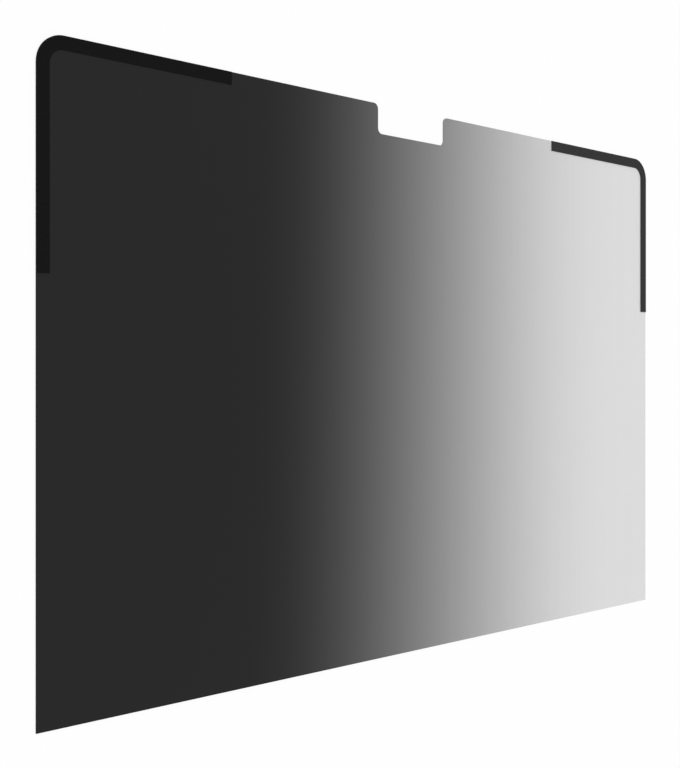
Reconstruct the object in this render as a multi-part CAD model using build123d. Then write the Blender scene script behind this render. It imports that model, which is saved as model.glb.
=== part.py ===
from build123d import *
import os

# Laptop privacy filter, lying flat with its mounting face up.
# X runs across the screen, Y up the screen and Z out of the mounting face.
# The origin is the middle of the sheet's underside. All sizes are millimetres.

# Sheet of louvre film
SHEET_WIDTH = 350.0
SHEET_HEIGHT = 227.0
SHEET_THICKNESS = 0.5
TOP_CORNER_RADIUS = 10.0

# Notch in the top edge that clears the laptop's camera housing
NOTCH_WIDTH = 39.7
NOTCH_DEPTH = 12.2
NOTCH_CORNER_RADIUS = 2.3

# L-shaped mounting strips, bonded flush with the outline at the two top corners
STRIP_WIDTH = 4.7
STRIP_TOP_LENGTH = 79.4
STRIP_SIDE_LENGTH = 78.2
STRIP_THICKNESS = 0.3

TOP_EDGE = SHEET_HEIGHT / 2
LEFT_EDGE = -SHEET_WIDTH / 2


def blank_outline():
    """The sheet before its notch is cut: round corners at the top and square ones at the bottom."""
    blank = Rectangle(SHEET_WIDTH, SHEET_HEIGHT)
    top_corners = blank.vertices().group_by(Axis.Y)[-1]
    return fillet(top_corners, TOP_CORNER_RADIUS)


def notched_outline():
    """The sheet's outline, with all four corners of the notch rounded."""
    notch = Rectangle(NOTCH_WIDTH, NOTCH_DEPTH, align=(Align.CENTER, Align.MAX))
    outline = blank_outline() - Pos(0, TOP_EDGE) * notch
    notch_corners = outline.vertices().group_by(lambda corner: abs(corner.X))[0]
    return fillet(notch_corners, NOTCH_CORNER_RADIUS)


def left_strip_outline():
    """The band along the sheet's edge that lies within the two legs' reach of the top left corner."""
    blank = blank_outline()
    edge_band = blank - offset(blank, -STRIP_WIDTH)
    reach = Rectangle(STRIP_TOP_LENGTH, STRIP_SIDE_LENGTH, align=(Align.MIN, Align.MAX))
    return edge_band & Pos(LEFT_EDGE, TOP_EDGE) * reach


filter_sheet = extrude(notched_outline(), SHEET_THICKNESS)
left_corner_strip = Pos(0, 0, SHEET_THICKNESS) * extrude(left_strip_outline(), STRIP_THICKNESS)
right_corner_strip = mirror(left_corner_strip, about=Plane.YZ)

os.makedirs("parts", exist_ok=True)
export_step(filter_sheet, "parts/filter_sheet.step")
export_step(left_corner_strip, "parts/left_corner_strip.step")
export_step(right_corner_strip, "parts/right_corner_strip.step")
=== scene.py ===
from math import radians

import bpy
from mathutils import Matrix, Vector


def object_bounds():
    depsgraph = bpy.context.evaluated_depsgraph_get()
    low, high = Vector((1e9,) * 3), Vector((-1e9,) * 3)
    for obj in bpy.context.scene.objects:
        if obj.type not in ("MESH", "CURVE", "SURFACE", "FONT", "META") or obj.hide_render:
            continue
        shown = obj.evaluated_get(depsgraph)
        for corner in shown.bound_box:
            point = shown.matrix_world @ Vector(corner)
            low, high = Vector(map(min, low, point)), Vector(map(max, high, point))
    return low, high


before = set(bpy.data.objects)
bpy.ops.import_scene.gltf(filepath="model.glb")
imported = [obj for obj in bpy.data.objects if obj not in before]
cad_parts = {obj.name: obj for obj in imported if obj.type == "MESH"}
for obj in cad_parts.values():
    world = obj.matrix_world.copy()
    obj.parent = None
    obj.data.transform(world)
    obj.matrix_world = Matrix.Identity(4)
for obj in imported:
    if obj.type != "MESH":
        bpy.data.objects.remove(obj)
cad_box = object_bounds()

# Laptop privacy filter, lying flat with its strips up. All lengths are metres, in the frame of the solids:
# X runs across the sheet, Y up it towards the notch, and Z out of the face that carries the strips.

# Photograph: its height in pixels, and the row that the sheet's long edges converge on
PHOTO_HEIGHT = 768
HORIZON_ROW = 377.9

# Camera: its place, how far it leans from straight down towards the sheet's right end, and its lens
CAMERA_PLACE = Vector((-0.3720, 0.0013, 0.3554))
CAMERA_LEAN = radians(42.99)
FOCAL_PIXELS = 1222.0
SENSOR_MM = 36.0

# Floor: it lies a little under the sheet, and shows the camera partly its own glow, so that it looks white
FLOOR_SIZE = 6.0
FLOOR_DROP = 0.0001
FLOOR_GREY = 0.95
FLOOR_GLOW_SHARE = 0.8

# Light: how strongly the surroundings light the sheet, and the key lamp's direction, breadth and strength
WORLD_LEVEL = 0.6
KEY_DIRECTION = Vector((-0.35, 0.05, 1.2))
KEY_BREADTH = radians(40)
KEY_STRENGTH = 1.35

# Painted sheen, a fade from dark to pale: the shares of the way from the left end to the right where it
# starts and ends, and how far it leans along X with Y
PAINTED_SHEEN_START = 0.2246
PAINTED_SHEEN_END = 0.9897
PAINTED_SHEEN_LEAN = 0.0174

# Film: its own dark tone and the tone of its pale end, which is painted sheen, how solid its pale faces
# are, faint upright streaks and a fine satin grain
FILM_DARK = 0.0128
FILM_SHEEN_PALE = 0.698
FILM_PALE_ALPHA = 0.45
STREAK_SIZE = (0.0012, 0.2, 0.2)
STREAK_TONES = (0.97, 1.03)
FILM_GRAIN_SIZE = (0.0005, 0.0005, 0.0005)
FILM_GRAIN_HEIGHT = 0.000003
FILM_ROUGHNESS = (0.4, 0.5)
FILM_SPECULAR = 0.1

# Mounting strips: tones of the left one and of the right one, whose paler tone is painted sheen on the
# same black, and their rubbery grain
LEFT_STRIP_TONE = 0.0062
RIGHT_STRIP_SHEEN_TONE = 0.0327
STRIP_GRAIN_SIZE = (0.0006, 0.0006, 0.0006)
STRIP_GRAIN_TONES = (0.6, 1.4)
STRIP_GRAIN_HEIGHT = 0.00003
STRIP_ROUGHNESS = (0.55, 0.7)
STRIP_SPECULAR = 0.03


def grey(value):
    """An opaque neutral colour."""
    return (value, value, value, 1.0)


def node(tree, kind, **settings):
    """A new shader node with its settings."""
    made = tree.nodes.new(kind)
    for name, value in settings.items():
        setattr(made, name, value)
    return made


def first_node(tree, kind):
    """The first node of this kind that a new tree already has."""
    return next(candidate for candidate in tree.nodes if candidate.type == kind)


def principled_material(name):
    """A new material, its node tree and its Principled shader."""
    material = bpy.data.materials.new(name)
    material.use_nodes = True
    tree = material.node_tree
    return material, tree, first_node(tree, "BSDF_PRINCIPLED")


def object_place(tree):
    """The place on the object that is shaded."""
    return node(tree, "ShaderNodeTexCoord").outputs["Object"]


def spread(tree, share, low, high):
    """A share from 0 to 1, spread from low to high."""
    ranged = node(tree, "ShaderNodeMapRange")
    ranged.inputs["To Min"].default_value = low
    ranged.inputs["To Max"].default_value = high
    tree.links.new(share, ranged.inputs["Value"])
    return ranged.outputs["Result"]


def product(tree, first, second):
    """Two values multiplied."""
    times = node(tree, "ShaderNodeMath", operation="MULTIPLY")
    tree.links.new(first, times.inputs[0])
    tree.links.new(second, times.inputs[1])
    return times.outputs["Value"]


def painted_sheen_across(tree):
    """The share of painted sheen, from 0 at the sheet's dark end to 1 at its pale end."""
    along = node(tree, "ShaderNodeVectorMath", operation="DOT_PRODUCT")
    along.inputs[1].default_value = (1.0, -PAINTED_SHEEN_LEAN, 0.0)
    tree.links.new(object_place(tree), along.inputs[0])
    left, right = (corner.x for corner in cad_box)
    painted_sheen = node(tree, "ShaderNodeMapRange", interpolation_type="SMOOTHERSTEP")
    painted_sheen.inputs["From Min"].default_value = left + PAINTED_SHEEN_START * (right - left)
    painted_sheen.inputs["From Max"].default_value = left + PAINTED_SHEEN_END * (right - left)
    tree.links.new(along.outputs["Value"], painted_sheen.inputs["Value"])
    return painted_sheen.outputs["Result"]


def speckle(tree, size):
    """Noise from 0 to 1, with specks of about this size along X, Y and Z."""
    scaled = node(tree, "ShaderNodeVectorMath", operation="DIVIDE")
    scaled.inputs[1].default_value = size
    tree.links.new(object_place(tree), scaled.inputs[0])
    noise = node(tree, "ShaderNodeTexNoise")
    noise.inputs["Scale"].default_value = 1.0
    tree.links.new(scaled.outputs["Vector"], noise.inputs["Vector"])
    return noise.outputs["Fac"]


def add_grain(tree, shader, grain, height, roughness):
    """Gives a shader its grain, as bumps of this height and as roughness within this range."""
    bump = node(tree, "ShaderNodeBump")
    bump.inputs["Distance"].default_value = height
    tree.links.new(grain, bump.inputs["Height"])
    tree.links.new(bump.outputs["Normal"], shader.inputs["Normal"])
    tree.links.new(spread(tree, grain, *roughness), shader.inputs["Roughness"])


def film_material():
    """Louvre film: satin and neutral, from dark and solid to pale and see-through, with faint streaks; its
    pale end is painted sheen.
    """
    material, tree, shader = principled_material("louvre_film")
    painted_sheen = painted_sheen_across(tree)
    tree.links.new(spread(tree, painted_sheen, 1.0, FILM_PALE_ALPHA), shader.inputs["Alpha"])
    # The base colour goes from the film's own dark tone to a painted sheen at its pale end.
    tint_and_sheen = spread(tree, painted_sheen, FILM_DARK, FILM_SHEEN_PALE)
    streaks = spread(tree, speckle(tree, STREAK_SIZE), *STREAK_TONES)
    tree.links.new(product(tree, tint_and_sheen, streaks), shader.inputs["Base Color"])
    add_grain(tree, shader, speckle(tree, FILM_GRAIN_SIZE), FILM_GRAIN_HEIGHT, FILM_ROUGHNESS)
    shader.inputs["Specular IOR Level"].default_value = FILM_SPECULAR
    return material


def strip_material(name, tone):
    """Flexible mounting strip: black and matt, with a rubbery grain."""
    material, tree, shader = principled_material(name)
    grain = speckle(tree, STRIP_GRAIN_SIZE)
    low, high = STRIP_GRAIN_TONES
    tree.links.new(spread(tree, grain, low * tone, high * tone), shader.inputs["Base Color"])
    add_grain(tree, shader, grain, STRIP_GRAIN_HEIGHT, STRIP_ROUGHNESS)
    shader.inputs["Specular IOR Level"].default_value = STRIP_SPECULAR
    return material


def seen_directly(tree):
    """1 for rays from the camera, gloss or clear material, and 0 for the rays that light the object."""
    path = node(tree, "ShaderNodeLightPath")
    seen = path.outputs["Is Camera Ray"]
    for name in ("Is Glossy Ray", "Is Transmission Ray"):
        either = node(tree, "ShaderNodeMath", operation="MAXIMUM")
        tree.links.new(seen, either.inputs[0])
        tree.links.new(path.outputs[name], either.inputs[1])
        seen = either.outputs["Value"]
    return seen


def add_floor():
    """A white floor that still takes the object's shadow."""
    lowest_corner = cad_box[0]
    bpy.ops.mesh.primitive_plane_add(size=FLOOR_SIZE, location=(0, 0, lowest_corner.z - FLOOR_DROP))
    floor = bpy.context.object
    floor.name = "floor"
    material = bpy.data.materials.new("floor")
    material.use_nodes = True
    tree = material.node_tree
    tree.nodes.clear()
    matt = node(tree, "ShaderNodeBsdfDiffuse")
    matt.inputs["Color"].default_value = grey(FLOOR_GREY)
    glow = node(tree, "ShaderNodeEmission")
    mix = node(tree, "ShaderNodeMixShader")
    output = node(tree, "ShaderNodeOutputMaterial")
    tree.links.new(spread(tree, seen_directly(tree), 0.0, FLOOR_GLOW_SHARE), mix.inputs["Fac"])
    tree.links.new(matt.outputs["BSDF"], mix.inputs[1])
    tree.links.new(glow.outputs["Emission"], mix.inputs[2])
    tree.links.new(mix.outputs["Shader"], output.inputs["Surface"])
    floor.data.materials.append(material)


def add_world():
    """Even white surroundings, which light the object less than they show."""
    world = bpy.data.worlds.new("studio")
    bpy.context.scene.world = world
    world.use_nodes = True
    tree = world.node_tree
    background = first_node(tree, "BACKGROUND")
    background.inputs["Color"].default_value = grey(1.0)
    tree.links.new(spread(tree, seen_directly(tree), WORLD_LEVEL, 1.0), background.inputs["Strength"])


def add_key():
    """A far soft lamp that lights the whole sheet alike, out of the camera's mirror angle."""
    lamp = bpy.data.lights.new("key", "SUN")
    lamp.angle = KEY_BREADTH
    lamp.energy = KEY_STRENGTH
    key = bpy.data.objects.new("key", lamp)
    key.rotation_euler = KEY_DIRECTION.to_track_quat("Z", "Y").to_euler()
    bpy.context.collection.objects.link(key)


def add_camera():
    """The photograph's camera: the sheet stands upright in the picture, with its left end nearest."""
    data = bpy.data.cameras.new("camera")
    data.sensor_width = SENSOR_MM
    data.lens = FOCAL_PIXELS / PHOTO_HEIGHT * SENSOR_MM
    data.shift_y = (HORIZON_ROW - PHOTO_HEIGHT / 2) / PHOTO_HEIGHT
    camera = bpy.data.objects.new("camera", data)
    camera.matrix_world = Matrix.Translation(CAMERA_PLACE) @ Matrix.Rotation(-CAMERA_LEAN, 4, "Y")
    bpy.context.collection.objects.link(camera)
    bpy.context.scene.camera = camera


def dress(node_name, material):
    """Gives a solid's material slots one finish."""
    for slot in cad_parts[node_name].material_slots:
        slot.material = material


dress("filter_sheet", film_material())
dress("left_corner_strip", strip_material("left_strip", LEFT_STRIP_TONE))
# The right strip is the same black as the left one, made paler by painted sheen.
dress("right_corner_strip", strip_material("right_strip_painted_sheen", RIGHT_STRIP_SHEEN_TONE))
add_floor()
add_world()
add_key()
add_camera()
bpy.context.scene.view_settings.view_transform = "Standard"
